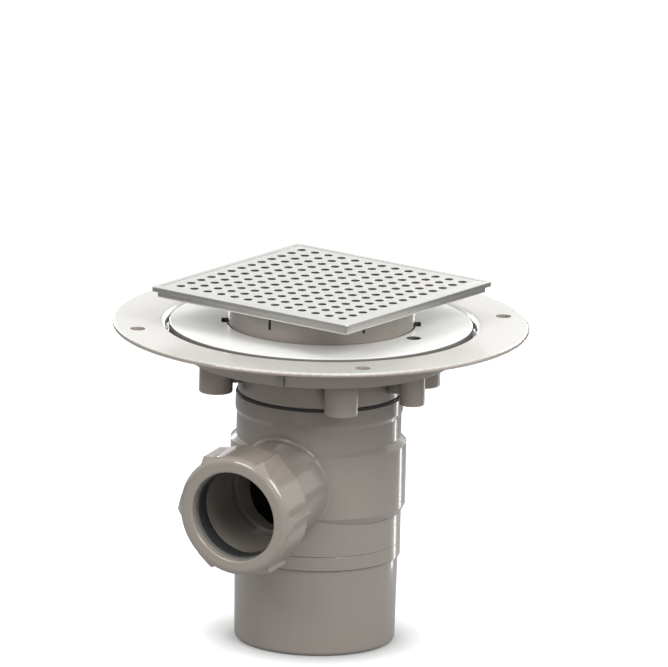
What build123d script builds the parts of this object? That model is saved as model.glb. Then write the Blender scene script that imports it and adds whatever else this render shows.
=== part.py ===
from build123d import *
from math import cos, radians, sin
import os

# Trapped floor gully in millimetres: +Z is up, the origin is the centre of the body's foot,
# and the outlet leaves along -Y with a slight fall.

# Gaps between pieces
turning_gap = 0.3            # beside a curved face that turns or slides
resting_gap = 0.1            # under a face that turns on its seat
seal_gap = 0.1               # between a rubber lip and the face that it wipes
cut_over = 1.0               # how far a cut or a joined piece runs past the face that it meets
near = 0.01                  # how close an edge lies to the place where it is looked for

# Trap body: a closed cup with a raised oblong band round the outlet
foot_radius = 52.4
foot_round = 3.0
cup_radius = 53.4            # where the drafted cup meets the barrel
cup_height = 57.5
barrel_radius = 54.8
barrel_step = 0.9
mark_height = 67.4           # fine witness line round the barrel
mark_width = 0.7
mark_depth = 0.35
collar_radius = 53.8         # the body above the band
mouth_radius = 54.7
mouth_flare_height = 152.0
mouth_flare = 3.0
body_height = 164.6
body_wall = 3.2
floor_thickness = 3.0
inner_foot_radius = 49.4
inner_round = 2.0

band_bottom = 93.0
band_top = 133.6
band_shift = 4.1             # half the distance between the two ends' centres
band_upper_slope = 4.2
band_upper_angle = 43.0
band_lower_slope = 4.5
band_lower_angle = 25.0

# Outlet branch, measured out from the body's axis along the falling outlet axis
outlet_height = 115.0        # where the outlet axis crosses the body's axis
outlet_fall = 4.5            # degrees
branch_radius = 32.6
branch_bore = 26.0
pipe_stop = 61.5
pipe_socket_radius = 29.4
thread_radius = 35.8
thread_start = 83.0
thread_flare = 5.0
branch_reach = 108.2
seal_seat = 97.9
branch_mouth_radius = 33.0
branch_root_round = 2.2

# Flange unit: one moulding with the wide flange, recess, socket, neck and bosses
flange_turn = -4.0           # degrees from the outlet's square
flange_radius = 135.6
flange_thickness = 3.0
flange_edge_round = 1.2
flange_top = 211.4
flange_hole_radius = 5.0
flange_hole_inset = 13.6     # from the flange's edge to each hole's centre
recess_radius = 100.4
recess_round = 5.5
recess_floor = 203.0
dish_thickness = 3.0
dish_round = 2.5             # outside the recess, under the flange and under its floor
skirt_radius = 87.0
skirt_top_radius = 88.6
skirt_wall = 2.7
skirt_bottom = 189.0
socket_wall = 3.0
socket_floor = 191.5
socket_floor_thickness = 3.0
insert_seat = 187.5
insert_seat_radius = 57.2
insert_seat_thickness = 2.8
neck_radius = 53.4
neck_wall = 2.8
neck_round = 0.6
plug_radius = 51.3           # the neck's lower part, which plugs into the body
plug_wall = 2.7
plug_depth = 25.0
plug_chamfer = 0.8
plug_stop_gap = 1.0          # below the plug
plug_stop_slope = 1.0
boss_radius = 11.0
boss_round = 0.8
boss_circle = 69.0
boss_bottom = 167.2
boss_core_radius = 4.0
boss_core_depth = 22.8
boss_count = 4
boss_first = 43.8            # degrees from the flange's +X
screw_boss_radius = 8.2
web_thickness = 4.0
web_bottom = 173.0
locating_rib_width = 3.0
locating_rib_height = 0.8
locating_rib_at = -74.3
flange_hole_count = 4
flange_hole_first = 45.0

# Clamp ring: a flat ring with a grooved collar that reaches down into the socket
ring_top = 211.6
ring_radius = 98.9
ring_thickness = 6.6
ring_edge_round = 0.8
ring_bore = 61.5
ring_bore_round = 0.6
collar_wall = 5.5
groove_radius = 64.9
groove_height = 2.2
groove_first = 195.4
groove_pitch = 5.65
groove_count = 3
stop_rib_width = 3.2
stop_rib_turns = (-14.0, 56.0)    # degrees from each lug channel
screw_circle = 71.0
screw_turns = (0.0, 180.0)

# Clamp screws and their threaded inserts
screw_radius = 2.5
screw_clearance = 0.3
screw_length = 27.0
screw_head_radius = 4.2
screw_head_height = 2.2
screw_head_sink = 2.4
screw_socket_radius = 1.7
screw_socket_depth = 1.2
insert_length = 11.0

# Gaskets
gasket_inner = 76.0
gasket_outer = 98.0
neck_seal_lip = 1.6
neck_seal_sleeve = 4.8
neck_seal_radius = 54.1
neck_seal_pocket = 52.9
dip_seal_thickness = 1.2
dip_seal_width = 4.4

# Dip tube insert: a funnel that hangs in the neck and reaches under water
dip_rim_height = 2.8
dip_rim_width = 4.6
dip_tube_radius = 24.2
dip_tube_wall = 2.4
dip_tube_bottom = 32.0
funnel_drop = 7.0
funnel_thickness = 2.4
throat_lip = 1.0

# Spigot: the short pipe that carries the tray and slides in the clamp ring
lug_turn = 28.0              # degrees from +X
spigot_radius = 61.0
spigot_wall = 2.7
spigot_length = 36.0
spigot_band = 0.2
spigot_band_height = 5.2
spigot_line_depth = 0.4
spigot_line_height = 0.6
lug_radius = 64.4
lug_width = 10.0
lug_height = 1.6
lug_channel_width = 12.0
channel_sink = 3.0           # how far inside the bore a channel's cut begins
snap_slot_width = 1.8
snap_slot_length = 8.0
snap_slot_drop = 1.4
snap_slot_count = 6
snap_slot_turn = -3.0

# Split ring that holds the tray on the spigot
keeper_radius = 57.9
keeper_wall = 1.7
keeper_depth = 8.6
keeper_flange = 2.3
keeper_flange_thickness = 1.0
keeper_split = 4.0
keeper_nib_reach = 2.2
keeper_nib_width = 1.2
keeper_nib_height = 3.0

# Tray and grate, both square
square_turn = -8.4           # degrees from the outlet's square
tray_lip_side = 158.3
tray_lip_height = 3.2
tray_wall_side = 153.1
tray_sheet = 1.2
tray_corner = 1.5
tray_hem_round = 0.6
tray_inner_bend = 0.3
tray_outer_bend = 1.0
tray_ledge = 6.0
tray_ledge_step = 1.9
tray_hole_radius = 58.6
grate_side = 150.0
grate_height = 6.2
grate_sheet = 1.5
grate_corner = 1.2
grate_fold = 0.9
grate_sink = 0.1             # below the tray's lip
grate_hole_radius = 3.0
grate_hole_pitch = 10.9
grate_hole_rows = 13
grate_hole_sides = 12        # each hole is a twelve-sided polygon, to keep so many of them light

# Compression nut, slip ring and seal, measured like the branch
nut_end_gap = 3.0            # between the branch's mouth and the inside of the nut's face
nut_face_thickness = 5.3
nut_length = 26.5
nut_radius = 40.8
nut_front_radius = 40.1
nut_front_round = 5.0
nut_bore = 29.8
nut_bore_round = 1.5
nut_rib_height = 2.9
nut_rib_lead = 17.0          # degrees that the long flank takes
nut_rib_drop = 4.0           # degrees that the short flank takes
nut_rib_root = 1.0           # how deep both flanks start in the nut
nut_rib_round = 0.9
nut_rib_end = 1.6            # behind the nut's face
nut_rib_slope = 4.4
nut_rib_count = 6
nut_rib_turn = 3.0
outlet_seal_bore = 28.5
outlet_seal_length = 10.9
outlet_seal_taper = 2.8
slip_ring_bore = 29.3
slip_ring_length = 1.9

# Heights and radii that follow from the sizes above
flange_hole_circle = flange_radius - flange_hole_inset
socket_radius = ring_bore + collar_wall + turning_gap
neck_shoulder = body_height + neck_seal_lip + resting_gap
spigot_bottom = socket_floor + turning_gap
spigot_top = spigot_bottom + spigot_length
tray_floor = spigot_top + resting_gap
tray_ledge_top = tray_floor + tray_sheet + tray_ledge_step
tray_top = tray_ledge_top + grate_height + grate_sink
nut_seat = branch_reach + nut_end_gap
nut_reach = nut_seat + nut_face_thickness
nut_rear = nut_reach - nut_length

outlet_frame = Plane(
    origin=(0, 0, outlet_height),
    x_dir=(1, 0, 0),
    z_dir=(0, -cos(radians(outlet_fall)), -sin(radians(outlet_fall))),
)


def turned(*outline):
    """Turn a closed outline of (radius, height) points about Z."""
    return revolve(Plane.XZ * make_face(Polyline(*outline, close=True)), Axis.Z)


def disc(radius, bottom, top):
    """A round slab between two heights."""
    return Pos(0, 0, bottom) * extrude(Circle(radius), top - bottom)


def ring(outer, inner, bottom, top):
    """A plain ring between two heights."""
    return Pos(0, 0, bottom) * extrude(Circle(outer) - Circle(inner), top - bottom)


def slab(side, corner, bottom, top):
    """A square slab with rounded corners between two heights."""
    return Pos(0, 0, bottom) * extrude(RectangleRounded(side, side, corner), top - bottom)


def bar(near, far, width, bottom, top):
    """A radial bar along +X between two radii and two heights."""
    return Pos((near + far) / 2, 0, (bottom + top) / 2) * Box(far - near, width, top - bottom)


def around(shape, turns):
    """Copies of a shape turned about Z by each of the given angles."""
    return [Rot(0, 0, turn) * shape for turn in turns]


def evenly(count, first):
    """The angles of evenly spaced copies."""
    return [first + 360 / count * i for i in range(count)]


def rims(shape, radius, height):
    """A shape's round edges about Z with one radius, at one height."""
    circles = shape.edges().filter_by(GeomType.CIRCLE)
    return [e for e in circles if abs(e.radius - radius) < near and abs(e.center().Z - height) < near]


def polar(radius, turn):
    """A point in the XY plane from its radius and angle."""
    return radius * cos(radians(turn)), radius * sin(radians(turn))


def band_layer(inset):
    """The oblong outline of the band, inset from its widest."""
    return SlotCenterToCenter(2 * band_shift, 2 * (collar_radius - inset))


def band(inset):
    """The raised oblong band with its two sloping shoulders."""
    middle = Pos(0, 0, band_bottom) * extrude(band_layer(inset), band_top - band_bottom)
    upper = extrude(band_layer(inset), band_upper_slope, taper=band_upper_angle)
    lower = extrude(band_layer(inset), -band_lower_slope, taper=band_lower_angle)
    return middle + Pos(0, 0, band_top) * upper + Pos(0, 0, band_bottom) * lower


def branch_root(shape):
    """The edges where the branch's outside meets the cup and the band."""
    found = []
    for edge in shape.edges():
        middle = outlet_frame.to_local_coords(edge @ 0.5)
        off_axis = (middle.X ** 2 + middle.Y ** 2) ** 0.5
        if abs(off_axis - branch_radius) < near and near < middle.Z < pipe_stop:
            found.append(edge)
    return found


def trap_body():
    """The closed cup with its band, its branch and the mouth for the neck."""
    groove = mark_width / 2
    outside = turned(
        (0, 0), (foot_radius, 0), (cup_radius, cup_height),
        (barrel_radius, cup_height + barrel_step),
        (barrel_radius, mark_height - groove), (barrel_radius - mark_depth, mark_height),
        (barrel_radius, mark_height + groove), (barrel_radius, band_bottom),
        (collar_radius, band_top), (collar_radius, mouth_flare_height),
        (mouth_radius, mouth_flare_height + mouth_flare), (mouth_radius, body_height), (0, body_height),
    )
    outside = fillet(outside.edges().sort_by(Axis.Z)[0], foot_round)
    branch = outlet_frame * turned(
        (0, 0), (branch_radius, 0), (branch_radius, thread_start - thread_flare),
        (thread_radius, thread_start), (thread_radius, branch_reach), (0, branch_reach),
    )
    inside_radius = collar_radius - body_wall
    plug_bottom = neck_shoulder - plug_depth
    hollow = turned(
        (0, floor_thickness), (inner_foot_radius, floor_thickness),
        (inside_radius, plug_bottom - plug_stop_gap - plug_stop_slope),
        (plug_radius + turning_gap, plug_bottom - plug_stop_gap),
        (plug_radius + turning_gap, body_height - neck_seal_sleeve - resting_gap),
        (neck_seal_pocket, body_height - neck_seal_sleeve - resting_gap),
        (neck_seal_pocket, body_height), (0, body_height),
    )
    hollow = fillet(hollow.edges().sort_by(Axis.Z)[0], inner_round)
    bore = outlet_frame * turned(
        (0, 0), (branch_bore, 0), (branch_bore, pipe_stop), (pipe_socket_radius, pipe_stop),
        (pipe_socket_radius, seal_seat), (branch_mouth_radius, seal_seat),
        (branch_mouth_radius, branch_reach), (0, branch_reach),
    )
    joined = outside + band(0) + branch
    joined = fillet(branch_root(joined), branch_root_round)
    return joined - hollow - band(body_wall) - bore


def neck_seal():
    """The rubber ring between the body's mouth and the neck, with its lip showing outside."""
    inner = plug_radius + seal_gap
    outer = neck_seal_pocket - seal_gap
    sleeve_bottom = body_height - neck_seal_sleeve
    return turned(
        (inner, sleeve_bottom), (outer, sleeve_bottom), (outer, body_height),
        (neck_seal_radius, body_height), (neck_seal_radius, body_height + neck_seal_lip),
        (inner, body_height + neck_seal_lip),
    )


def flange_shell():
    """The turned form of the flange unit: flange, recess, skirt, socket, neck and plug."""
    socket_outer = socket_radius + socket_wall
    seat_outer = insert_seat_radius + socket_wall
    plug_bottom = neck_shoulder - plug_depth
    neck_inner = neck_radius - neck_wall
    plug_inner = plug_radius - plug_wall
    dish_radius = recess_radius + dish_thickness
    dish_bottom = recess_floor - dish_thickness
    underside = flange_top - flange_thickness
    shell = turned(
        (flange_radius, underside), (flange_radius, flange_top),
        (recess_radius, flange_top), (recess_radius, recess_floor), (socket_radius, recess_floor),
        (socket_radius, socket_floor), (insert_seat_radius, socket_floor),
        (insert_seat_radius, insert_seat), (neck_inner, insert_seat),
        (neck_inner, neck_shoulder + neck_wall), (plug_inner, neck_shoulder - plug_wall),
        (plug_inner, plug_bottom), (plug_radius - plug_chamfer, plug_bottom),
        (plug_radius, plug_bottom + plug_chamfer), (plug_radius, neck_shoulder),
        (neck_radius, neck_shoulder), (neck_radius, insert_seat - insert_seat_thickness),
        (seat_outer, insert_seat - insert_seat_thickness),
        (seat_outer, socket_floor - socket_floor_thickness),
        (socket_outer, socket_floor - socket_floor_thickness), (socket_outer, dish_bottom),
        (skirt_radius - skirt_wall, dish_bottom), (skirt_radius - skirt_wall, skirt_bottom),
        (skirt_radius, skirt_bottom), (skirt_top_radius, dish_bottom), (dish_radius, dish_bottom),
        (dish_radius, underside),
    )
    edge = rims(shell, flange_radius, flange_top) + rims(shell, flange_radius, underside)
    shell = fillet(edge, flange_edge_round)
    shell = fillet(rims(shell, recess_radius, flange_top), recess_round)
    shell = fillet(rims(shell, dish_radius, underside) + rims(shell, dish_radius, dish_bottom), dish_round)
    return fillet(rims(shell, neck_radius, neck_shoulder), neck_round)


def boss(radius):
    """A solid boss under the recess, with its lower rim rounded."""
    post = disc(radius, boss_bottom, recess_floor - dish_thickness + cut_over)
    return fillet(rims(post, radius, boss_bottom), boss_round)


def flange_body():
    """The flange unit with its bosses, webs, fixing holes and screw holes."""
    dish_bottom = recess_floor - dish_thickness
    core = disc(boss_core_radius, boss_bottom, boss_bottom + boss_core_depth)
    screw_hole = disc(screw_radius + screw_clearance, boss_bottom, recess_floor)
    flange_hole = disc(flange_hole_radius, skirt_bottom, flange_top)
    web = bar(neck_radius - cut_over, boss_circle, web_thickness, web_bottom, dish_bottom + cut_over)
    rib = bar(
        skirt_radius - skirt_wall, skirt_top_radius + locating_rib_height, locating_rib_width,
        skirt_bottom, dish_bottom,
    )
    corners = evenly(boss_count, boss_first)
    at_boss, at_screw = Pos(boss_circle, 0, 0), Pos(screw_circle, 0, 0)
    added = around(at_boss * boss(boss_radius) + web, corners)
    added += around(at_screw * boss(screw_boss_radius) + web, screw_turns)
    added += around(rib, (locating_rib_at, locating_rib_at + 180))
    cut = around(at_boss * core, corners) + around(at_screw * core, screw_turns)
    cut += around(at_screw * screw_hole, screw_turns)
    fixing = evenly(flange_hole_count, flange_hole_first)
    cut += around(Pos(flange_hole_circle, 0, 0) * flange_hole, fixing)
    cut.append(disc(neck_radius - neck_wall, web_bottom, insert_seat))
    cut.append(disc(insert_seat_radius, insert_seat, socket_floor))
    cut.append(disc(socket_radius, socket_floor, recess_floor))
    shell = flange_shell()
    for piece in added:
        shell += piece
    for piece in cut:
        shell -= piece
    return Rot(0, 0, flange_turn) * shell


def membrane_gasket():
    """The flat rubber ring that seals the floor's membrane under the clamp ring."""
    return ring(gasket_outer, gasket_inner, recess_floor, ring_top - ring_thickness)


def clamp_ring():
    """The ring that clamps the membrane, with the grooved collar that holds the spigot's height."""
    plate_bottom = ring_top - ring_thickness
    collar_outer = ring_bore + collar_wall
    shell = turned(
        (ring_bore, spigot_bottom), (collar_outer, spigot_bottom), (collar_outer, plate_bottom),
        (ring_radius, plate_bottom), (ring_radius, ring_top), (ring_bore, ring_top),
    )
    shell = fillet(rims(shell, ring_radius, ring_top), ring_edge_round)
    shell = fillet(rims(shell, ring_bore, ring_top), ring_bore_round)
    channels = (lug_turn - flange_turn, lug_turn - flange_turn + 180)
    stops = [channel + turn for channel in channels for turn in stop_rib_turns]
    for step in range(groove_count):
        low = groove_first + step * groove_pitch
        high = low + groove_height
        groove = ring(groove_radius, ring_bore - cut_over, low, high)
        stop = bar(ring_bore, groove_radius + cut_over, stop_rib_width, low, high)
        for piece in around(stop, stops):
            groove -= piece
        shell -= groove
    channel = bar(ring_bore - channel_sink, groove_radius, lug_channel_width, spigot_bottom, ring_top)
    for piece in around(channel, channels):
        shell -= piece
    seat = ring_top - screw_head_sink - screw_head_height
    hole = Pos(screw_circle, 0, 0) * (
        disc(screw_head_radius + 2 * screw_clearance, seat, ring_top)
        + disc(screw_radius + screw_clearance, plate_bottom, seat)
    )
    for screw_hole in around(hole, screw_turns):
        shell -= screw_hole
    return Rot(0, 0, flange_turn) * shell


def clamp_screws():
    """The two socket screws that pull the clamp ring down."""
    seat = ring_top - screw_head_sink - screw_head_height
    screw = disc(screw_radius, seat - screw_length, seat)
    screw += disc(screw_head_radius, seat, seat + screw_head_height)
    key = Pos(0, 0, seat + screw_head_height - screw_socket_depth)
    screw -= key * extrude(RegularPolygon(screw_socket_radius, 6), screw_socket_depth)
    turns = [flange_turn + turn for turn in screw_turns]
    return Compound(children=around(Pos(screw_circle, 0, 0) * screw, turns))


def screw_inserts():
    """The two threaded brass inserts, drawn up into the bosses by the screws."""
    top = boss_bottom + boss_core_depth
    insert = ring(boss_core_radius, screw_radius, top - insert_length, top)
    turns = [flange_turn + turn for turn in screw_turns]
    return Compound(children=around(Pos(screw_circle, 0, 0) * insert, turns))


def dip_tube():
    """The removable funnel and dip tube that make the water seal."""
    rim_radius = insert_seat_radius - turning_gap
    rim_bottom = insert_seat + dip_seal_thickness
    rim_top = rim_bottom + dip_rim_height
    funnel_radius = rim_radius - dip_rim_width
    throat = dip_tube_radius - dip_tube_wall
    return turned(
        (rim_radius, rim_bottom), (rim_radius, rim_top), (funnel_radius, rim_top),
        (dip_tube_radius + dip_tube_wall, rim_top - funnel_drop),
        (dip_tube_radius, rim_top - funnel_drop + throat_lip), (throat, rim_top - funnel_drop + throat_lip),
        (throat, dip_tube_bottom), (dip_tube_radius, dip_tube_bottom),
        (dip_tube_radius, rim_top - funnel_drop - funnel_thickness),
        (funnel_radius - dip_rim_width, rim_bottom),
    )


def dip_tube_seal():
    """The rubber ring under the rim of the dip tube."""
    outer = insert_seat_radius - turning_gap
    return ring(outer, outer - dip_seal_width, insert_seat, insert_seat + dip_seal_thickness)


def spigot():
    """The pipe under the tray, with two lugs for the collar's grooves and slots for the keeper."""
    band_high = spigot_bottom + spigot_band_height
    inner = spigot_radius - spigot_wall
    shell = turned(
        (inner, spigot_bottom), (spigot_radius + spigot_band, spigot_bottom),
        (spigot_radius + spigot_band, band_high), (spigot_radius - spigot_line_depth, band_high),
        (spigot_radius - spigot_line_depth, band_high + spigot_line_height),
        (spigot_radius, band_high + spigot_line_height), (spigot_radius, spigot_top), (inner, spigot_top),
    )
    lug_low = groove_first + (groove_height - lug_height) / 2
    lug = bar(spigot_radius - cut_over, lug_radius, lug_width, lug_low, lug_low + lug_height)
    slot_top = spigot_top - snap_slot_drop
    slot_bottom = slot_top - snap_slot_length
    slot = bar(inner - cut_over, spigot_radius + cut_over, snap_slot_width, slot_bottom, slot_top)
    for piece in around(lug, (0, 180)):
        shell += piece
    for piece in around(slot, evenly(snap_slot_count, snap_slot_turn)):
        shell -= piece
    return Rot(0, 0, lug_turn) * shell


def tray_keeper():
    """The split ring that traps the tray's hole edge and snaps into the spigot's slots."""
    flange_low = tray_floor + tray_sheet + resting_gap
    low = flange_low - keeper_depth
    inner = keeper_radius - keeper_wall
    shell = turned(
        (inner, low), (keeper_radius, low), (keeper_radius, flange_low),
        (keeper_radius + keeper_flange, flange_low),
        (keeper_radius + keeper_flange, flange_low + keeper_flange_thickness),
        (inner, flange_low + keeper_flange_thickness),
    )
    nib_end = keeper_radius + keeper_nib_reach
    nib = bar(keeper_radius - keeper_wall / 2, nib_end, keeper_nib_width, low, low + keeper_nib_height)
    for piece in around(nib, evenly(snap_slot_count, snap_slot_turn)):
        shell += piece
    rim = keeper_radius + keeper_flange + cut_over
    split = bar(inner - cut_over, rim, keeper_split, low, flange_low + keeper_flange_thickness)
    shell -= Rot(0, 0, snap_slot_turn + 180 / snap_slot_count) * split
    return Rot(0, 0, lug_turn) * shell


def pressed(side, bottom, top, bend):
    """A square slab whose lower edges have the press tool's bend."""
    block = slab(side, tray_corner, bottom, top)
    return fillet(block.faces().sort_by(Axis.Z)[0].edges(), bend)


def frame_tray():
    """The pressed square tray with its hemmed lip, its ledge and its round hole."""
    wall_inside = tray_wall_side - 2 * tray_sheet
    pan_side = wall_inside - 2 * tray_ledge
    pan_outside = pan_side + 2 * tray_sheet
    lip = slab(tray_lip_side, tray_corner, tray_top - tray_lip_height, tray_top)
    tray = fillet(lip.faces().sort_by(Axis.Z)[-1].edges(), tray_hem_round)
    tray += pressed(tray_wall_side, tray_ledge_top - tray_sheet, tray_top - tray_hem_round, tray_outer_bend)
    tray += pressed(pan_outside, tray_floor, tray_ledge_top - tray_sheet / 2, tray_outer_bend)
    tray -= pressed(wall_inside, tray_ledge_top, tray_top, tray_inner_bend)
    tray -= pressed(pan_side, tray_floor + tray_sheet, tray_top, tray_inner_bend)
    tray -= disc(tray_hole_radius, tray_floor, tray_top)
    return Rot(0, 0, square_turn) * tray


def grate():
    """The perforated square grate, a sheet with its edges turned down."""
    top = tray_top - grate_sink
    plate = slab(grate_side, grate_corner, top - grate_height, top)
    plate = fillet(plate.faces().sort_by(Axis.Z)[-1].edges(), grate_fold)
    plate -= slab(grate_side - 2 * grate_sheet, grate_corner, top - grate_height, top - grate_sheet)
    grid = GridLocations(grate_hole_pitch, grate_hole_pitch, grate_hole_rows, grate_hole_rows)
    holes = Sketch() + grid * RegularPolygon(grate_hole_radius, grate_hole_sides)
    plate -= Pos(0, 0, top - grate_sheet) * extrude(holes, grate_sheet)
    return Rot(0, 0, square_turn) * plate


def outlet_seal():
    """The tapered rubber seal that the nut squeezes on to the pipe."""
    front = seal_seat + resting_gap + outlet_seal_length
    rear = seal_seat + resting_gap
    outer = branch_mouth_radius - seal_gap
    return outlet_frame * turned(
        (outlet_seal_bore, rear + outlet_seal_taper), (pipe_socket_radius, rear),
        (outer - outlet_seal_taper / 2, rear), (outer, rear + outlet_seal_taper), (outer, front),
        (outlet_seal_bore, front),
    )


def slip_ring_start():
    """Where the slip ring begins along the outlet axis."""
    return seal_seat + resting_gap + outlet_seal_length + resting_gap


def slip_ring():
    """The plain ring that keeps the turning nut off the seal."""
    start = slip_ring_start()
    outer = branch_mouth_radius - turning_gap
    return outlet_frame * ring(outer, slip_ring_bore, start, start + slip_ring_length)


def nut_rib():
    """A grip rib of the nut, with one long flank and one short one, and a front that slopes away."""
    crest = nut_radius + nut_rib_height
    root = nut_radius - nut_rib_root
    end = nut_reach - nut_rib_end
    flanks = Polyline((crest, 0), polar(root, nut_rib_drop), polar(root, -nut_rib_lead), close=True)
    rib = Pos(0, 0, nut_rear) * extrude(make_face(flanks), end - nut_rear)
    rib = fillet(rib.edges().filter_by(Axis.Z).sort_by(lambda e: e.center().X)[-1], nut_rib_round)
    return rib & turned(
        (0, nut_rear), (crest, nut_rear), (crest, end - nut_rib_slope), (root - nut_rib_root, end), (0, end)
    )


def compression_nut():
    """The ribbed nut, whose face pushes the slip ring."""
    thread = thread_radius + turning_gap
    shell = turned(
        (thread, nut_rear), (nut_radius, nut_rear), (nut_front_radius, nut_reach), (nut_bore, nut_reach),
        (nut_bore, nut_seat), (thread, nut_seat),
    )
    shell = fillet(rims(shell, nut_front_radius, nut_reach), nut_front_round)
    shell = fillet(rims(shell, nut_bore, nut_reach), nut_bore_round)
    for piece in around(nut_rib(), evenly(nut_rib_count, nut_rib_turn)):
        shell += piece
    return outlet_frame * shell


pieces = {
    "trap_body": trap_body,
    "neck_seal": neck_seal,
    "flange_body": flange_body,
    "membrane_gasket": membrane_gasket,
    "clamp_ring": clamp_ring,
    "clamp_screws": clamp_screws,
    "screw_inserts": screw_inserts,
    "dip_tube": dip_tube,
    "dip_tube_seal": dip_tube_seal,
    "spigot": spigot,
    "tray_keeper": tray_keeper,
    "frame_tray": frame_tray,
    "grate": grate,
    "outlet_seal": outlet_seal,
    "slip_ring": slip_ring,
    "compression_nut": compression_nut,
}

os.makedirs("parts", exist_ok=True)
for name, build in pieces.items():
    export_step(build(), f"parts/{name}.step")
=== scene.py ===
import math

import bmesh
import bpy
from mathutils import Matrix, Vector


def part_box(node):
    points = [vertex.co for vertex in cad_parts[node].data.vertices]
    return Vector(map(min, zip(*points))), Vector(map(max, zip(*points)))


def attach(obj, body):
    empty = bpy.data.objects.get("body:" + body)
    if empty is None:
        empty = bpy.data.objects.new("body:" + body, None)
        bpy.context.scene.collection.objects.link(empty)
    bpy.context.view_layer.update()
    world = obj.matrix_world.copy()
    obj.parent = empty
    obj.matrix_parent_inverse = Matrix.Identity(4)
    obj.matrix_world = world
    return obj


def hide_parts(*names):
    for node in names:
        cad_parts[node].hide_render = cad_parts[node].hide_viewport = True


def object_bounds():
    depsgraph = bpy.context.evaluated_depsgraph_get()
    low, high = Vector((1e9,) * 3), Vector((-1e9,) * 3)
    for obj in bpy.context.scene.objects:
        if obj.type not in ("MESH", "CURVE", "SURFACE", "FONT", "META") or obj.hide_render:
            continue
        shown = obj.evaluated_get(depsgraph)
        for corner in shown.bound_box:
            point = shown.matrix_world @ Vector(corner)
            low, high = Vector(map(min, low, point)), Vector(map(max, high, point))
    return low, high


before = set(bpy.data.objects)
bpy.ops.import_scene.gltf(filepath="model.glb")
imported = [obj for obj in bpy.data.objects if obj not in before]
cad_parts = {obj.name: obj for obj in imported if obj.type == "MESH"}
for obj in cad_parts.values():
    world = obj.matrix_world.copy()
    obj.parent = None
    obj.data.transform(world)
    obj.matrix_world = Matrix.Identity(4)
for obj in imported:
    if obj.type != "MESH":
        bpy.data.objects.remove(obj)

cad_low, cad_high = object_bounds()
mm = 0.001


# Trap body
# The closed cup that holds the water, with the raised band and the branch of the outlet.
# It is one injection moulding in grey polypropylene, glossy from a polished mould.

polymer_ior = 1.49
noise_mean = 0.5                        # what a noise texture comes to on average
# Upper faces take their own colour: a split by facing that paints light and shade.
side_rise, upper_rise = 0.55, 0.90      # the normal's Z where the upper colour starts and is full
flat_match, edge_match = 0.995, 0.80    # how well the softened normal agrees on a flat and an edge
# Edges turn paler, partly as wear and partly as a painted highlight on the rounded edge.
edge_wear_and_highlight = (0.9, 0.9, 0.88, 1)
# The hollow shade is painted shade: colours darken towards a dark grey where the part closes round a
# point.
open_air, closed_air = 0.80, 0.42       # the open share round a point where a hollow starts and is full
painted_shade_reach = 12 * mm
painted_hollow_shade = (0.045, 0.046, 0.044, 1)
edge_rays, painted_shade_rays = 6, 8           # how finely edges and hollows are felt for


def node_at(tree, kind, inputs=None, **settings):
    """A shader node with its settings and the values of its unlinked inputs."""
    node = tree.nodes.new(kind)
    for name, value in settings.items():
        setattr(node, name, value)
    for socket, value in (inputs or {}).items():
        node.inputs[socket].default_value = value
    return node


def effect_group(name, inputs, outputs):
    """An empty shader group with named inputs and outputs, and its two end nodes."""
    group = bpy.data.node_groups.new(name, "ShaderNodeTree")
    for socket, (kind, value) in inputs.items():
        made = group.interface.new_socket(socket, in_out="INPUT", socket_type=kind)
        made.default_value = value
    for socket, kind in outputs.items():
        group.interface.new_socket(socket, in_out="OUTPUT", socket_type=kind)
    return group, group.nodes.new("NodeGroupInput"), group.nodes.new("NodeGroupOutput")


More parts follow.
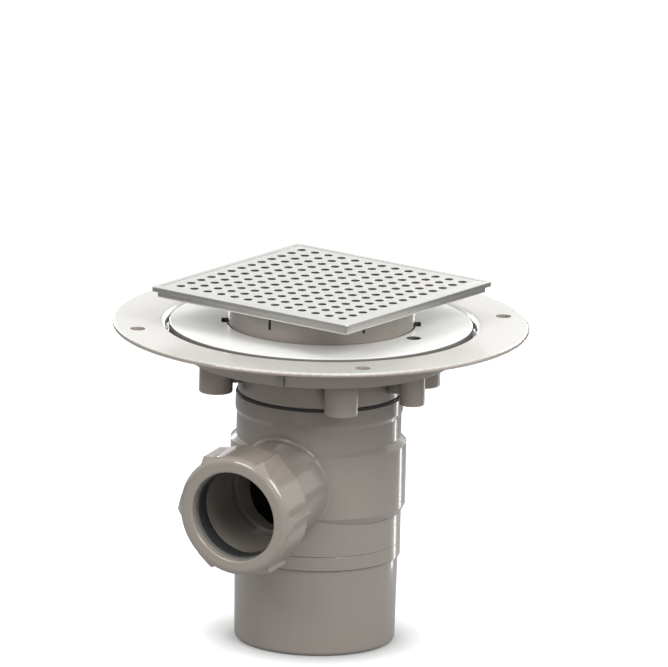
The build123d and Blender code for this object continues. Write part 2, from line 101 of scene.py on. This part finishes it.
def moulded_finish():
    """Moulded plastic or rubber, with a colour split between upper and other faces that paints light
    and shade, and painted shade in its hollows.

    The surface has faint clouding, flow streaks, skin grain, sink marks and softened edges,
    paler from wear and from a painted highlight.
    """
    tree, given, result = effect_group(
        "moulded_finish",
        {
            "Colour": ("NodeSocketColor", (0.5, 0.5, 0.5, 1)),
            "Upper colour": ("NodeSocketColor", (0.5, 0.5, 0.5, 1)),
            "Painted light share": ("NodeSocketFloat", 0.0),
            "Clouding": ("NodeSocketFloat", 0.04),
            "Gloss roughness": ("NodeSocketFloat", 0.25),
            "Roughness spread": ("NodeSocketFloat", 0.08),
            "Grain height": ("NodeSocketFloat", 0.01 * mm),
            "Sink height": ("NodeSocketFloat", 0.02 * mm),
            "Edge radius": ("NodeSocketFloat", 0.3 * mm),
            "Edge wear and highlight": ("NodeSocketFloat", 0.15),
            "Painted hollow shade": ("NodeSocketFloat", 0.85),
        },
        {"Colour": "NodeSocketColor", "Roughness": "NodeSocketFloat", "Normal": "NodeSocketVector"},
    )
    link = tree.links.new
    place = node_at(tree, "ShaderNodeTexCoord")
    cloud = node_at(tree, "ShaderNodeTexNoise", inputs={"Scale": 22.0, "Detail": 3.0})
    along = node_at(tree, "ShaderNodeMapping", inputs={"Scale": (1.0, 1.0, 0.08)})
    streak = node_at(tree, "ShaderNodeTexNoise", inputs={"Scale": 160.0, "Detail": 2.0})
    grain = node_at(tree, "ShaderNodeTexNoise", inputs={"Scale": 2600.0, "Detail": 2.0})
    sink = node_at(tree, "ShaderNodeTexNoise", inputs={"Scale": 34.0, "Detail": 1.0})
    link(place.outputs["Object"], cloud.inputs["Vector"])
    link(place.outputs["Object"], along.inputs["Vector"])
    link(along.outputs["Vector"], streak.inputs["Vector"])
    link(place.outputs["Object"], grain.inputs["Vector"])
    link(place.outputs["Object"], sink.inputs["Vector"])

    rounded = node_at(tree, "ShaderNodeBevel", samples=edge_rays)
    link(given.outputs["Edge radius"], rounded.inputs["Radius"])
    facing = node_at(tree, "ShaderNodeSeparateXYZ")
    link(rounded.outputs["Normal"], facing.inputs["Vector"])
    # Faces that look up take the upper colour, a painted light and shade split.
    upper = node_at(tree, "ShaderNodeMapRange", inputs={"From Min": side_rise, "From Max": upper_rise})
    link(facing.outputs["Z"], upper.inputs["Value"])
    painted_light_split = node_at(tree, "ShaderNodeMath", operation="MULTIPLY")
    link(upper.outputs["Result"], painted_light_split.inputs[0])
    link(given.outputs["Painted light share"], painted_light_split.inputs[1])
    toned = node_at(tree, "ShaderNodeMixRGB")
    link(painted_light_split.outputs[0], toned.inputs["Fac"])
    link(given.outputs["Colour"], toned.inputs["Color1"])
    link(given.outputs["Upper colour"], toned.inputs["Color2"])

    shade = node_at(tree, "ShaderNodeMath", operation="ADD")
    link(cloud.outputs["Fac"], shade.inputs[0])
    link(streak.outputs["Fac"], shade.inputs[1])
    centred = node_at(tree, "ShaderNodeMath", operation="SUBTRACT", inputs={1: 2 * noise_mean})
    link(shade.outputs[0], centred.inputs[0])
    brightness = node_at(tree, "ShaderNodeMath", operation="MULTIPLY_ADD", inputs={2: 1.0})
    link(centred.outputs[0], brightness.inputs[0])
    link(given.outputs["Clouding"], brightness.inputs[1])
    clouded = node_at(tree, "ShaderNodeHueSaturation")
    link(toned.outputs["Color"], clouded.inputs["Color"])
    link(brightness.outputs[0], clouded.inputs["Value"])

    # Edges turn paler: partly wear, partly a painted highlight.
    shape = node_at(tree, "ShaderNodeNewGeometry")
    match = node_at(tree, "ShaderNodeVectorMath", operation="DOT_PRODUCT")
    link(rounded.outputs["Normal"], match.inputs[0])
    link(shape.outputs["Normal"], match.inputs[1])
    edge = node_at(tree, "ShaderNodeMapRange", inputs={"From Min": flat_match, "From Max": edge_match})
    link(match.outputs["Value"], edge.inputs["Value"])
    edge_share = node_at(tree, "ShaderNodeMath", operation="MULTIPLY")
    link(edge.outputs["Result"], edge_share.inputs[0])
    link(given.outputs["Edge wear and highlight"], edge_share.inputs[1])
    paler = node_at(tree, "ShaderNodeMixRGB", inputs={"Color2": edge_wear_and_highlight})
    link(edge_share.outputs[0], paler.inputs["Fac"])
    link(clouded.outputs["Color"], paler.inputs["Color1"])

    # Painted shade: hollows darken towards a dark grey by how closed in they are.
    around = node_at(
        tree, "ShaderNodeAmbientOcclusion", inputs={"Distance": painted_shade_reach},
        samples=painted_shade_rays, only_local=True,
    )
    hollow = node_at(tree, "ShaderNodeMapRange", inputs={"From Min": open_air, "From Max": closed_air})
    link(around.outputs["AO"], hollow.inputs["Value"])
    hollow_share = node_at(tree, "ShaderNodeMath", operation="MULTIPLY")
    link(hollow.outputs["Result"], hollow_share.inputs[0])
    link(given.outputs["Painted hollow shade"], hollow_share.inputs[1])
    painted_shaded = node_at(tree, "ShaderNodeMixRGB", inputs={"Color2": painted_hollow_shade})
    link(hollow_share.outputs[0], painted_shaded.inputs["Fac"])
    link(paler.outputs["Color"], painted_shaded.inputs["Color1"])
    link(painted_shaded.outputs["Color"], result.inputs["Colour"])

    varied = node_at(tree, "ShaderNodeMath", operation="SUBTRACT", inputs={1: noise_mean})
    link(streak.outputs["Fac"], varied.inputs[0])
    roughness = node_at(tree, "ShaderNodeMath", operation="MULTIPLY_ADD")
    link(varied.outputs[0], roughness.inputs[0])
    link(given.outputs["Roughness spread"], roughness.inputs[1])
    link(given.outputs["Gloss roughness"], roughness.inputs[2])
    link(roughness.outputs[0], result.inputs["Roughness"])

    sunk = node_at(tree, "ShaderNodeBump", inputs={"Strength": 1.0})
    link(sink.outputs["Fac"], sunk.inputs["Height"])
    link(given.outputs["Sink height"], sunk.inputs["Distance"])
    link(rounded.outputs["Normal"], sunk.inputs["Normal"])
    grained = node_at(tree, "ShaderNodeBump", inputs={"Strength": 1.0})
    link(grain.outputs["Fac"], grained.inputs["Height"])
    link(given.outputs["Grain height"], grained.inputs["Distance"])
    link(sunk.outputs["Normal"], grained.inputs["Normal"])
    link(grained.outputs["Normal"], result.inputs["Normal"])
    return tree


def finished(name, effect, effect_values, shader_values):
    """A material that takes colour, roughness and normal from an effect group."""
    material = bpy.data.materials.new(name)
    material.use_nodes = True
    tree = material.node_tree
    shader = tree.nodes["Principled BSDF"]
    for socket, value in shader_values.items():
        shader.inputs[socket].default_value = value
    layer = node_at(tree, "ShaderNodeGroup", node_tree=effect, inputs=effect_values)
    for output, target in (("Colour", "Base Color"), ("Roughness", "Roughness"), ("Normal", "Normal")):
        tree.links.new(layer.outputs[output], shader.inputs[target])
    return material


def finish_node(node, material):
    """Give a CAD node its material."""
    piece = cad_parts[node]
    piece.data.materials.clear()
    piece.data.materials.append(material)


moulded = moulded_finish()
body_plastic = finished(
    "body_plastic", moulded,
    {
        "Colour": (0.298, 0.265, 0.235, 1), "Clouding": 0.07, "Gloss roughness": 0.22,
        "Roughness spread": 0.08, "Grain height": 0.002 * mm, "Sink height": 0.03 * mm,
        "Edge radius": 0.5 * mm, "Edge wear and highlight": 0.04,
    },
    {"IOR": polymer_ior, "Coat Weight": 0.5, "Coat Roughness": 0.05},
)
finish_node("trap_body", body_plastic)


# Rubber seals and gasket
# Moulded black rubber: a ring at the body's mouth, one in the outlet and one under the dip
# tube's rim, and the flat gasket under the clamp ring. Each is laid or pushed into its seat.

black_rubber = finished(
    "black_rubber", moulded,
    {
        "Colour": (0.030, 0.031, 0.031, 1), "Clouding": 0.3, "Gloss roughness": 0.55,
        "Roughness spread": 0.2, "Grain height": 0.02 * mm, "Sink height": 0.02 * mm,
        "Edge radius": 0.3 * mm, "Edge wear and highlight": 0.02,
    },
    {"IOR": 1.52},
)
for seal in ("neck_seal", "outlet_seal", "membrane_gasket", "dip_tube_seal"):
    finish_node(seal, black_rubber)


# Compression nut and slip ring
# The ribbed nut is a grey polypropylene moulding that screws on to the branch.
# The slip ring between nut and seal is a plain darker moulding.

nut_plastic = finished(
    "nut_plastic", moulded,
    {
        "Colour": (0.305, 0.270, 0.234, 1), "Clouding": 0.05, "Gloss roughness": 0.16,
        "Roughness spread": 0.06, "Grain height": 0.002 * mm, "Sink height": 0.04 * mm,
        "Edge radius": 0.6 * mm, "Edge wear and highlight": 0.06,
    },
    {"IOR": polymer_ior, "Coat Weight": 0.6, "Coat Roughness": 0.04},
)
finish_node("compression_nut", nut_plastic)

slip_plastic = finished(
    "slip_plastic", moulded,
    {
        "Colour": (0.16, 0.17, 0.165, 1), "Clouding": 0.05, "Gloss roughness": 0.3,
        "Roughness spread": 0.1, "Grain height": 0.004 * mm, "Sink height": 0.02 * mm,
        "Edge radius": 0.2 * mm, "Edge wear and highlight": 0.05,
    },
    {"IOR": polymer_ior},
)
finish_node("slip_ring", slip_plastic)


# Flange unit
# The wide flange with its dished recess, socket, neck and screw bosses.
# It is one moulding in a grey plastic like the body's. Its upper faces are painted paler as light
# from above, and its other faces warmer as painted bounce light.

flange_plastic = finished(
    "flange_plastic", moulded,
    {
        # Colour is painted warm bounce light on the sides and underside; Upper colour is painted light
        # on top.
        "Colour": (0.400, 0.352, 0.312, 1), "Upper colour": (0.545, 0.532, 0.500, 1),
        "Painted light share": 1.0, "Clouding": 0.04, "Gloss roughness": 0.3,
        "Roughness spread": 0.08, "Grain height": 0.003 * mm, "Sink height": 0.02 * mm,
        "Edge radius": 0.5 * mm, "Edge wear and highlight": 0.04,
    },
    {"IOR": polymer_ior, "Coat Weight": 0.7, "Coat Roughness": 0.12},
)
finish_node("flange_body", flange_plastic)


# Clamp ring
# The flat ring that clamps the floor's membrane, with the grooved collar of the opening.
# It is moulded in pale plastic; its white upper faces are its own colour, and its other faces are
# painted dark grey as shade in the narrow groove round it. Two screws hold it.

ring_plastic = finished(
    "ring_plastic", moulded,
    {
        # The dark grey Colour is painted shade for the ring's sides in their groove; the white is the
        # ring's own.
        "Colour": (0.16, 0.152, 0.143, 1), "Upper colour": (0.79, 0.79, 0.775, 1),
        "Painted light share": 1.0, "Clouding": 0.03, "Gloss roughness": 0.38,
        "Roughness spread": 0.08, "Grain height": 0.004 * mm, "Sink height": 0.01 * mm,
        "Edge radius": 0.4 * mm, "Edge wear and highlight": 0.1,
    },
    {"IOR": polymer_ior},
)
finish_node("clamp_ring", ring_plastic)


# Clamp screws and inserts
# Two stainless socket screws sunk in the ring, and the brass inserts that they screw into.
# The screws are cold-headed, and the inserts are turned.

def brushed_finish():
    """Brushed or turned metal: fine parallel scratches in a tone that drifts slowly."""
    tree, given, result = effect_group(
        "brushed_finish",
        {
            "Colour": ("NodeSocketColor", (0.7, 0.7, 0.7, 1)),
            "Drift": ("NodeSocketFloat", 0.06),
            "Gloss roughness": ("NodeSocketFloat", 0.3),
            "Roughness spread": ("NodeSocketFloat", 0.15),
            "Scratch height": ("NodeSocketFloat", 0.004 * mm),
            "Turn": ("NodeSocketFloat", 0.0),
            "Edge radius": ("NodeSocketFloat", 0.3 * mm),
        },
        {"Colour": "NodeSocketColor", "Roughness": "NodeSocketFloat", "Normal": "NodeSocketVector"},
    )
    link = tree.links.new
    place = node_at(tree, "ShaderNodeTexCoord")
    turned = node_at(tree, "ShaderNodeVectorRotate", rotation_type="Z_AXIS")
    stretch = node_at(tree, "ShaderNodeMapping", inputs={"Scale": (0.02, 1.0, 1.0)})
    scratch = node_at(tree, "ShaderNodeTexNoise", inputs={"Scale": 2200.0, "Detail": 4.0})
    cloud = node_at(tree, "ShaderNodeTexNoise", inputs={"Scale": 30.0, "Detail": 3.0})
    link(place.outputs["Object"], turned.inputs["Vector"])
    link(given.outputs["Turn"], turned.inputs["Angle"])
    link(turned.outputs["Vector"], stretch.inputs["Vector"])
    link(stretch.outputs["Vector"], scratch.inputs["Vector"])
    link(place.outputs["Object"], cloud.inputs["Vector"])

    shade = node_at(tree, "ShaderNodeMath", operation="ADD")
    link(cloud.outputs["Fac"], shade.inputs[0])
    link(scratch.outputs["Fac"], shade.inputs[1])
    centred = node_at(tree, "ShaderNodeMath", operation="SUBTRACT", inputs={1: 2 * noise_mean})
    link(shade.outputs[0], centred.inputs[0])
    brightness = node_at(tree, "ShaderNodeMath", operation="MULTIPLY_ADD", inputs={2: 1.0})
    link(centred.outputs[0], brightness.inputs[0])
    link(given.outputs["Drift"], brightness.inputs[1])
    toned = node_at(tree, "ShaderNodeHueSaturation")
    link(given.outputs["Colour"], toned.inputs["Color"])
    link(brightness.outputs[0], toned.inputs["Value"])
    link(toned.outputs["Color"], result.inputs["Colour"])

    varied = node_at(tree, "ShaderNodeMath", operation="SUBTRACT", inputs={1: noise_mean})
    link(scratch.outputs["Fac"], varied.inputs[0])
    roughness = node_at(tree, "ShaderNodeMath", operation="MULTIPLY_ADD")
    link(varied.outputs[0], roughness.inputs[0])
    link(given.outputs["Roughness spread"], roughness.inputs[1])
    link(given.outputs["Gloss roughness"], roughness.inputs[2])
    link(roughness.outputs[0], result.inputs["Roughness"])

    rounded = node_at(tree, "ShaderNodeBevel", samples=edge_rays)
    link(given.outputs["Edge radius"], rounded.inputs["Radius"])
    scratched = node_at(tree, "ShaderNodeBump", inputs={"Strength": 1.0})
    link(scratch.outputs["Fac"], scratched.inputs["Height"])
    link(given.outputs["Scratch height"], scratched.inputs["Distance"])
    link(rounded.outputs["Normal"], scratched.inputs["Normal"])
    link(scratched.outputs["Normal"], result.inputs["Normal"])
    return tree


brushed = brushed_finish()
screw_steel = finished(
    "screw_steel", brushed,
    {"Colour": (0.55, 0.55, 0.54, 1), "Gloss roughness": 0.3, "Edge radius": 0.2 * mm},
    {"Metallic": 1.0},
)
finish_node("clamp_screws", screw_steel)
turned_brass = finished(
    "turned_brass", brushed,
    {"Colour": (0.72, 0.52, 0.22, 1), "Gloss roughness": 0.28, "Edge radius": 0.2 * mm},
    {"Metallic": 1.0},
)
finish_node("screw_inserts", turned_brass)


# Dip tube
# The funnel and tube that hang in the neck and reach into the water to make the seal.
# It is moulded in pale grey plastic and lifts out by its rim.

insert_plastic = finished(
    "insert_plastic", moulded,
    {
        "Colour": (0.46, 0.48, 0.46, 1), "Clouding": 0.05, "Gloss roughness": 0.3,
        "Roughness spread": 0.1, "Grain height": 0.004 * mm, "Sink height": 0.02 * mm,
        "Edge radius": 0.4 * mm, "Edge wear and highlight": 0.1,
    },
    {"IOR": polymer_ior},
)
finish_node("dip_tube", insert_plastic)


# Spigot
# The short pipe that carries the tray and slides down inside the clamp ring's collar.
# It is moulded in the same grey polypropylene as the body.

finish_node("spigot", body_plastic)


# Tray keeper
# The split ring that snaps into the spigot and traps the edge of the tray's hole.
# It is moulded in black plastic and sprung in from above.

keeper_plastic = finished(
    "keeper_plastic", moulded,
    {
        "Colour": (0.030, 0.034, 0.040, 1), "Clouding": 0.1, "Gloss roughness": 0.28,
        "Roughness spread": 0.1, "Grain height": 0.004 * mm, "Sink height": 0.01 * mm,
        "Edge radius": 0.3 * mm, "Edge wear and highlight": 0.04,
    },
    {"IOR": polymer_ior},
)
finish_node("tray_keeper", keeper_plastic)


# Tray
# The square pan that frames the grate, pressed from stainless sheet with a hemmed lip.
# Its ledge carries the grate and its round hole sits on the spigot.

square_turn = math.radians(-8.4)     # how far the square is turned from the outlet


def brushed_stainless(name, edge_radius):
    """Brushed stainless sheet with its brushing square to the tray."""
    look = {
        "Colour": (0.74, 0.73, 0.70, 1), "Drift": 0.07, "Gloss roughness": 0.30,
        "Roughness spread": 0.12, "Scratch height": 0.0015 * mm, "Turn": -square_turn,
        "Edge radius": edge_radius,
    }
    return finished(name, brushed, look, {"Metallic": 1.0})


finish_node("frame_tray", brushed_stainless("tray_steel", 0.4 * mm))


# Grate
# The perforated cover: a stainless sheet with 13 rows of 13 punched holes and turned-down edges.
# The holes are punched from above, so each has a small rolled edge, and the sheet is brushed after.

grate_low, grate_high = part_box("grate")
grate_top = grate_high.z
grate_height = grate_high.z - grate_low.z
grate_side = 150 * mm
grate_sheet = 1.5 * mm
grate_fold = 0.9 * mm                # radius of the folded top edge
grate_corner = 1.2 * mm
hole_rows = 13
hole_pitch = 10.9 * mm
hole_radius = 3.0 * mm
hole_rolled = 0.08 * mm              # radius of each hole's rolled edge
hole_points = 24
hole_steps = 3                       # facets across a hole's rolled edge
corner_points = 6
fold_steps = 4                       # facets across the folded top edge
# The punched walls are dull sheared steel, and their dark colour is also painted shade inside the
# holes.
shaded_sheared_walls = 1                          # the finish of the holes' punched walls
weld_gap = 0.001 * mm
level_slack = 0.01 * mm              # how far off a height a point may be and still be at it
smooth_under = math.radians(40)      # edges that turn less than this are shaded smooth


def square_loop(half_side, corner, height):
    """The points of a square with rounded corners, round the Z axis."""
    places = []
    for quarter in range(4):
        turn = Matrix.Rotation(quarter * math.pi / 2, 3, "Z")
        middle = Vector((half_side - corner, half_side - corner, height))
        for step in range(corner_points + 1):
            angle = step / corner_points * math.pi / 2
            places.append(turn @ (middle + Vector((math.cos(angle), math.sin(angle), 0)) * corner))
    return places


def hole_loop(middle, radius, height):
    """The points of a hole's edge at one height."""
    places = []
    for i in range(hole_points):
        angle = 2 * math.pi * (i + 0.5) / hole_points
        across, along = math.cos(angle) * radius, math.sin(angle) * radius
        places.append(Vector((middle.x + across, middle.y + along, height)))
    return places


def cell_loop(middle, height):
    """The points of a hole's square cell, one on the ray of each point of the hole."""
    half_cell = hole_pitch / 2
    places = []
    for place in hole_loop(Vector((0, 0)), 1.0, 0):
        out = half_cell / max(abs(place.x), abs(place.y))
        places.append(Vector((middle.x + place.x * out, middle.y + place.y * out, height)))
    return places


def joined_loops(mesh, rows, finish=0):
    """Faces between each closed row of points and the next, all with one finish."""
    made = [[mesh.verts.new(place) for place in row] for row in rows]
    for row, following in zip(made, made[1:]):
        for i in range(len(row)):
            j = (i + 1) % len(row)
            face = mesh.faces.new((row[i], row[j], following[j], following[i]))
            face.material_index = finish


def rim_edges(mesh, height):
    """The open edges of a mesh at one height."""
    rims = [edge for edge in mesh.edges if edge.is_boundary]
    return [edge for edge in rims if all(abs(v.co.z - height) < level_slack for v in edge.verts)]


def rounded_edge(radius, steps):
    """How far a rounded edge stands back and down at each step, from the top face to the wall."""
    angles = [math.pi / 2 * (1 - i / steps) for i in range(steps + 1)]
    return [(radius * (1 - math.cos(a)), radius * (1 - math.sin(a))) for a in angles]


def perforated_sheet(mesh):
    """The grid of holes, with the top face, the rolled edges, the walls and the underside."""
    under = grate_top - grate_sheet
    first = -(hole_rows - 1) / 2 * hole_pitch
    for i in range(hole_rows):
        for j in range(hole_rows):
            middle = Vector((first + i * hole_pitch, first + j * hole_pitch))
            rolled = []
            for out, drop in rounded_edge(hole_rolled, hole_steps):
                rolled.append(hole_loop(middle, hole_radius + out, grate_top - drop))
            foot = hole_loop(middle, hole_radius, under)
            joined_loops(mesh, [cell_loop(middle, grate_top)] + rolled)
            joined_loops(mesh, [rolled[-1], foot], finish=shaded_sheared_walls)
            joined_loops(mesh, [foot, cell_loop(middle, under)])


def folded_edge(mesh):
    """The turned-down edge, from the top face round the fold, down, and up inside."""
    half = grate_side / 2
    rows = []
    for inset, drop in rounded_edge(grate_fold, fold_steps):
        rows.append(square_loop(half - inset, grate_corner, grate_top - drop))
    foot = grate_top - grate_height
    inside = half - grate_sheet
    rows.append(square_loop(half, grate_corner, foot))
    rows.append(square_loop(inside, grate_corner, foot))
    rows.append(square_loop(inside, grate_corner, grate_top - grate_sheet))
    joined_loops(mesh, rows)


pressing = bmesh.new()
perforated_sheet(pressing)
bmesh.ops.remove_doubles(pressing, verts=pressing.verts, dist=weld_gap)
folded_edge(pressing)
for height in (grate_top, grate_top - grate_sheet):
    bmesh.ops.triangle_fill(pressing, use_beauty=True, edges=rim_edges(pressing, height))
bmesh.ops.remove_doubles(pressing, verts=pressing.verts, dist=weld_gap)
bmesh.ops.recalc_face_normals(pressing, faces=pressing.faces)
pressing.transform(Matrix.Rotation(square_turn, 4, "Z"))
grate_mesh = bpy.data.meshes.new("grate_sheet")
pressing.to_mesh(grate_mesh)
pressing.free()
grate_mesh.shade_smooth()
grate_mesh.set_sharp_from_angle(angle=smooth_under)
grate_mesh.materials.append(brushed_stainless("grate_steel", 0.05 * mm))
# Sheared walls: dull from the punch, and darkened further as painted shade inside the holes.
grate_mesh.materials.append(finished(
    "sheared_steel_painted_shade", brushed,
    {
        "Colour": (0.15, 0.14, 0.125, 1), "Drift": 0.2, "Gloss roughness": 0.55,
        "Scratch height": 0.006 * mm, "Edge radius": 0.05 * mm,
    },
    {"Metallic": 1.0},
))
grate = bpy.data.objects.new("grate_sheet", grate_mesh)
bpy.context.scene.collection.objects.link(grate)
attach(grate, "tray")
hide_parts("grate")


# Floor and light
# A plain white sweep under soft boxes, so that the part stands in an even studio light.
# The room is brightest behind the part, and a small strip there draws the body's right edge.

def soft_box(name, azimuth, elevation, distance, width, height, power):
    """A rectangular lamp that faces the part from a direction given as for the camera."""
    turn, rise = math.radians(azimuth), math.radians(elevation)
    away = Vector((math.sin(turn) * math.cos(rise), -math.cos(turn) * math.cos(rise), math.sin(rise)))
    middle = Vector((0, 0, (cad_low.z + cad_high.z) / 2))
    lamp = bpy.data.lights.new(name, "AREA")
    lamp.shape = "RECTANGLE"
    lamp.size, lamp.size_y, lamp.energy = width, height, power
    box = bpy.data.objects.new(name, lamp)
    box.location = middle + away * distance
    box.rotation_euler = (-away).to_track_quat("-Z", "Y").to_euler()
    box.visible_camera = False
    bpy.context.scene.collection.objects.link(box)
    return box


top_box = soft_box(
    "top_box", azimuth=20, elevation=76, distance=1.3, width=1.1, height=1.1, power=5.5
)
top_box.visible_glossy = False       # or the flat steel and plastic would mirror it as glare
soft_box("front_box", azimuth=64, elevation=36, distance=1.6, width=0.8, height=0.8, power=12.0)
soft_box("fill_box", azimuth=-14, elevation=36, distance=1.6, width=0.6, height=0.6, power=7.4)
soft_box("outlet_box", azimuth=12, elevation=6, distance=1.3, width=0.3, height=0.3, power=0.6)
soft_box("spark_strip", azimuth=62, elevation=44, distance=1.3, width=0.06, height=0.5, power=2.5)
soft_box("back_left_box", azimuth=190, elevation=16, distance=1.5, width=0.35, height=0.45, power=5.8)
soft_box("back_right_box", azimuth=230, elevation=16, distance=1.5, width=0.35, height=0.45, power=5.8)
soft_box("edge_strip", azimuth=152, elevation=-10, distance=0.225, width=0.02, height=0.16, power=0.05)

floor_size = 12.0
floor_mesh = bpy.data.meshes.new("floor")
half = floor_size / 2
floor_mesh.from_pydata(
    [(-half, -half, 0), (half, -half, 0), (half, half, 0), (-half, half, 0)], [], [(0, 1, 2, 3)]
)
floor = bpy.data.objects.new("floor", floor_mesh)
bpy.context.scene.collection.objects.link(floor)


def shown_to_eye(tree):
    """The Light Path node, and a mask of the rays that see the background as it is."""
    ray = node_at(tree, "ShaderNodeLightPath")
    straight = node_at(tree, "ShaderNodeMath", operation="MAXIMUM")
    tree.links.new(ray.outputs["Is Camera Ray"], straight.inputs[0])
    tree.links.new(ray.outputs["Is Transmission Ray"], straight.inputs[1])
    return ray, straight


# Round the foot the floor's white lift for the eye falls away: a painted contact shadow over the real
# one.
lift_near, lift_far = 0.0, 1.0        # how much of the floor's white is its own, by the foot and away
painted_shadow_near = 46 * mm                # the contact shade starts here, at the foot's edge
painted_shadow_far = 95 * mm
painted_shadow_ease = 0.70                   # how fast the shade fades: 1 is even, less is faster
sweep_near = 350 * mm                 # the sweep is pale to here, and the dim room starts beyond
sweep_far = 800 * mm
sweep_tone, beyond_tone = 0.36, 0.08
floor_in_gloss = 0.10                 # how much of the floor's own white a gloss shows
floor_paint = bpy.data.materials.new("floor_paint")
floor_paint.use_nodes = True
tree = floor_paint.node_tree
shader = tree.nodes["Principled BSDF"]
shader.inputs["Roughness"].default_value = 0.9
shader.inputs["Specular IOR Level"].default_value = 0.0
shader.inputs["Emission Color"].default_value = (1, 1, 1, 1)
ray, straight = shown_to_eye(tree)
place = node_at(tree, "ShaderNodeTexCoord")
reach = node_at(tree, "ShaderNodeVectorMath", operation="LENGTH")
tree.links.new(place.outputs["Object"], reach.inputs[0])
beyond = node_at(tree, "ShaderNodeMapRange", inputs={"From Min": painted_shadow_near, "From Max": painted_shadow_far})
tree.links.new(reach.outputs["Value"], beyond.inputs["Value"])
eased = node_at(tree, "ShaderNodeMath", operation="POWER", inputs={1: painted_shadow_ease})
tree.links.new(beyond.outputs["Result"], eased.inputs[0])
lift = node_at(tree, "ShaderNodeMapRange", inputs={"To Min": lift_near, "To Max": lift_far})
tree.links.new(eased.outputs[0], lift.inputs["Value"])
shown = node_at(tree, "ShaderNodeMath", operation="MULTIPLY_ADD", inputs={1: floor_in_gloss})
tree.links.new(ray.outputs["Is Glossy Ray"], shown.inputs[0])
tree.links.new(straight.outputs[0], shown.inputs[2])
lifted = node_at(tree, "ShaderNodeMath", operation="MULTIPLY")
tree.links.new(shown.outputs[0], lifted.inputs[0])
tree.links.new(lift.outputs["Result"], lifted.inputs[1])
tone = node_at(
    tree, "ShaderNodeMapRange",
    inputs={"From Min": sweep_near, "From Max": sweep_far, "To Min": sweep_tone, "To Max": beyond_tone},
)
tree.links.new(reach.outputs["Value"], tone.inputs["Value"])
tree.links.new(tone.outputs["Result"], shader.inputs["Base Color"])
tree.links.new(lifted.outputs[0], shader.inputs["Emission Strength"])
floor_mesh.materials.append(floor_paint)

room_low, room_high = 0.25, 0.80       # the room's light, level with the floor and straight above
bright_side = (-0.25, 0.75, 0.60)      # where the room shows brightest in a gloss
gloss_low, gloss_high = 0.25, 1.0      # how bright it shows, away from that side and on it
away_facing, full_facing = -0.6, 0.5
world = bpy.data.worlds.new("studio")
bpy.context.scene.world = world
world.use_nodes = True
tree = world.node_tree
backdrop = tree.nodes["Background"]
backdrop.inputs["Color"].default_value = (1, 1, 1, 1)
ray, straight = shown_to_eye(tree)
place = node_at(tree, "ShaderNodeTexCoord")
facing = node_at(tree, "ShaderNodeVectorMath", operation="DOT_PRODUCT", inputs={1: bright_side})
tree.links.new(place.outputs["Generated"], facing.inputs[0])
in_gloss = node_at(
    tree, "ShaderNodeMapRange",
    inputs={
        "From Min": away_facing, "From Max": full_facing, "To Min": gloss_low, "To Max": gloss_high,
    },
)
tree.links.new(facing.outputs["Value"], in_gloss.inputs["Value"])
gloss = node_at(tree, "ShaderNodeMath", operation="MULTIPLY")
tree.links.new(in_gloss.outputs["Result"], gloss.inputs[0])
tree.links.new(ray.outputs["Is Glossy Ray"], gloss.inputs[1])
seen = node_at(tree, "ShaderNodeMath", operation="MAXIMUM")
tree.links.new(gloss.outputs[0], seen.inputs[0])
tree.links.new(straight.outputs[0], seen.inputs[1])
rise = node_at(tree, "ShaderNodeSeparateXYZ")
tree.links.new(place.outputs["Generated"], rise.inputs["Vector"])
ambient = node_at(tree, "ShaderNodeMapRange", inputs={"To Min": room_low, "To Max": room_high})
tree.links.new(rise.outputs["Z"], ambient.inputs["Value"])
level = node_at(tree, "ShaderNodeMath", operation="MAXIMUM")
tree.links.new(seen.outputs[0], level.inputs[0])
tree.links.new(ambient.outputs["Result"], level.inputs[1])
tree.links.new(level.outputs[0], backdrop.inputs["Strength"])


# Camera
# A very long lens, a little above the flange, which sees the outlet to the left of the body.

camera_azimuth = math.radians(27.95)
camera_elevation = math.radians(14.09)
camera_roll = math.radians(1.27)
camera_distance = 10.0
camera_aim = Vector((-0.0020, 0.0220, 0.1990))
lens_length = 826.0
film_width = 36.0

lens = bpy.data.cameras.new("camera")
lens.lens, lens.sensor_width = lens_length, film_width
lens.clip_end = 2 * camera_distance
camera = bpy.data.objects.new("camera", lens)
back = Vector((
    math.sin(camera_azimuth) * math.cos(camera_elevation),
    -math.cos(camera_azimuth) * math.cos(camera_elevation),
    math.sin(camera_elevation),
))
camera.location = camera_aim + back * camera_distance
swing = Matrix.Rotation(camera_azimuth, 4, "Z")
tilt = Matrix.Rotation(math.pi / 2 - camera_elevation, 4, "X")
camera.rotation_euler = (swing @ tilt @ Matrix.Rotation(camera_roll, 4, "Z")).to_euler()
bpy.context.scene.collection.objects.link(camera)
bpy.context.scene.camera = camera
bpy.context.scene.view_settings.view_transform = "Standard"
